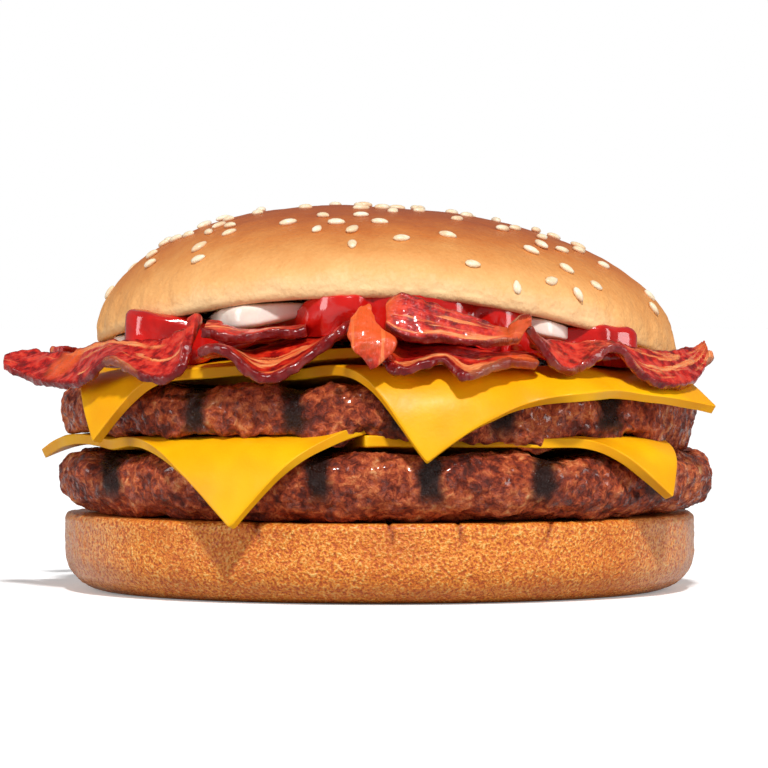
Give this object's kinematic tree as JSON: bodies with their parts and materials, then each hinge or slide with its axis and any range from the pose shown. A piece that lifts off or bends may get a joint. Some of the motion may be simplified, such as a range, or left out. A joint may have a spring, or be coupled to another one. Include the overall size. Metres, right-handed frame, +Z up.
{
  "type": "double cheeseburger",
  "caption": "Double cheeseburger with bacon: stacked grilled beef patties and cheese slices in a sesame bun, with wavy bacon, ketchup and mayonnaise under the top half.",
  "frame": {"origin": "middle of the bottom bun's flat base, on the surface that it rests on", "axes": "+Z up through the stack, the shown side faces -Y, +X to the right of the shown side"},
  "size_m": [0.1378, 0.1299, 0.0744],
  "materials": {
    "heel_crust": "golden brown baked crust with fine pores",
    "beef": "craggy grilled beef, moist",
    "cheese": "smooth soft cheese",
    "bacon": "crisp fried bacon with fat streaks",
    "ketchup": "glossy sauce",
    "mayonnaise": "glossy cream sauce",
    "crown_crust": "smooth golden crust with sesame seeds"
  },
  "bodies": {
    "root": {"bun_heel": "heel_crust", "patty_lower": "beef", "patty_upper": "beef", "cheese_lower_left": "cheese", "cheese_lower_right": "cheese", "cheese_upper_left": "cheese", "cheese_upper_right": "cheese", "bacon_left": "bacon", "bacon_centre": "bacon", "bacon_right": "bacon", "bacon_shadow": "bacon", "bacon_upper": "bacon", "bacon_inner": "bacon", "bacon_middle": "bacon", "bacon_rear_inner": "bacon", "bacon_rear_right": "bacon", "bacon_rear_left": "bacon", "ketchup": "ketchup", "mayonnaise": "mayonnaise", "bun_crown": "crown_crust"}
  },
  "joints": []
}
